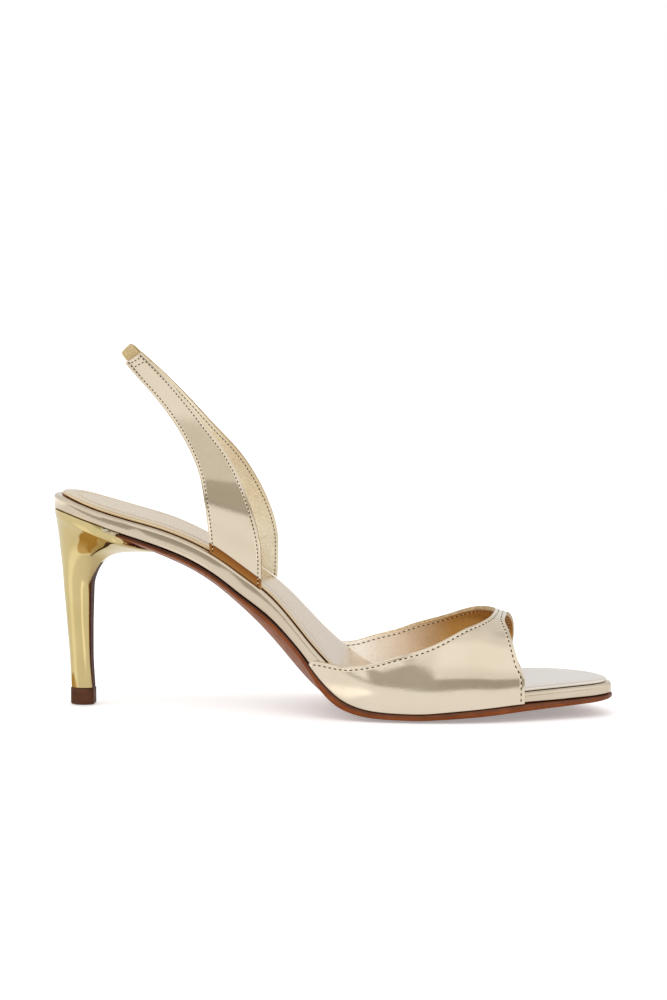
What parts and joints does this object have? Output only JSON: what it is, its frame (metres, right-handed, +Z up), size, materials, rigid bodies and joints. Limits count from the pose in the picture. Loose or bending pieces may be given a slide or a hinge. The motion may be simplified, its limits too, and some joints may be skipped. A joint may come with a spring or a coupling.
{
  "type": "slingback sandal",
  "caption": "High heel slingback sandal with an open toe, a bow shaped vamp, crescent sling straps joined by an elastic, and a slim plated heel.",
  "frame": {"origin": "centre of the heel tip's ground face", "axes": "+X towards the toe, +Y towards the lateral side of this left shoe, +Z up from the ground"},
  "size_m": [0.2212, 0.0804, 0.1437],
  "materials": {
    "outsole": "waxed brown leather, dark edge",
    "insole": "board wrapped in mirror metallic leather",
    "sock": "soft pearl metallic leather over padding",
    "vamp": "mirror metallic leather, grained gold lining",
    "sling": "mirror metallic leather, grained gold lining",
    "elastic": "gathered gold elastic",
    "heel": "yellow gold plated moulding",
    "top_lift": "dark brown heel tip"
  },
  "bodies": {
    "root": {"outsole": "outsole", "insole": "insole", "sock": "sock", "vamp": "vamp", "sling_medial": "sling", "sling_lateral": "sling", "sling_elastic": "elastic", "heel": "heel", "top_lift": "top_lift"}
  },
  "joints": []
}
